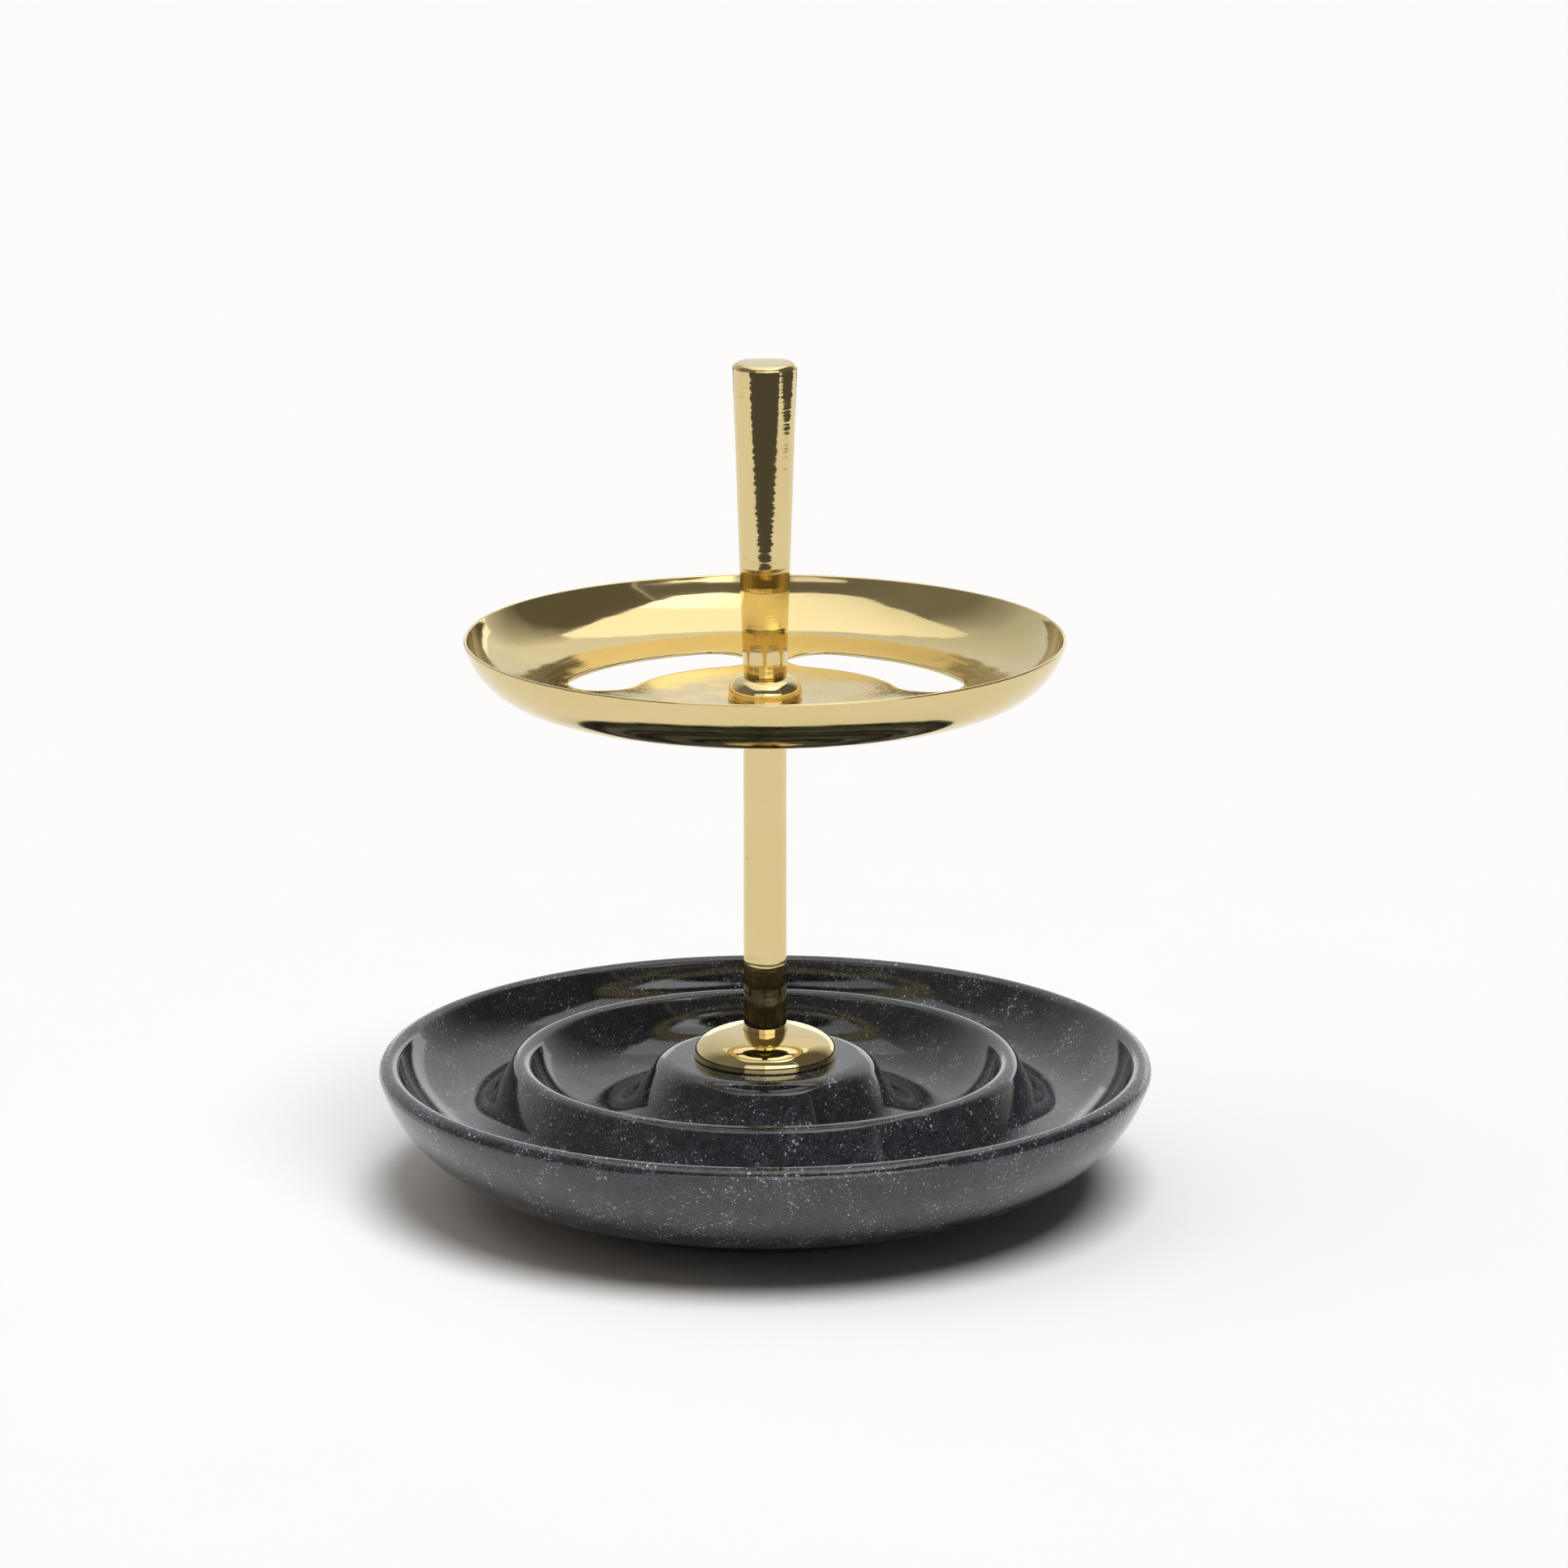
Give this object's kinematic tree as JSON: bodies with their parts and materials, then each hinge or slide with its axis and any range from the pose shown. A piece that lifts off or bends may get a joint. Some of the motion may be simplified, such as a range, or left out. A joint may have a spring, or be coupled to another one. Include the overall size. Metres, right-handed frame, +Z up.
{
  "type": "pen stand",
  "caption": "Desk pen stand: grooved round stone bowl with a central brass stem that carries a slotted brass dish and a tapered lifting handle.",
  "frame": {"origin": "middle of the felt pad's underside, where the stand meets the desk", "axes": "+Z up along the stem, +X to the right and +Y away from the viewer of the picture"},
  "size_m": [0.14, 0.14, 0.1535],
  "materials": {
    "granite": "turned and polished black granite with fine pale flecks",
    "polished_brass": "turned, buffed and lacquered brass",
    "spun_brass": "spun brass sheet, polished inside and satin outside",
    "felt": "black pressed felt",
    "zinc_steel": "bright zinc-plated steel"
  },
  "bodies": {
    "root": {"base_pad": "felt", "stone_base": "granite", "base_screw": "zinc_steel", "lock_washer": "zinc_steel", "base_washer": "zinc_steel", "foot_flange": "polished_brass", "lower_stem": "polished_brass", "dish": "spun_brass", "collar": "polished_brass", "handle_stud": "zinc_steel", "handle": "polished_brass"}
  },
  "joints": []
}
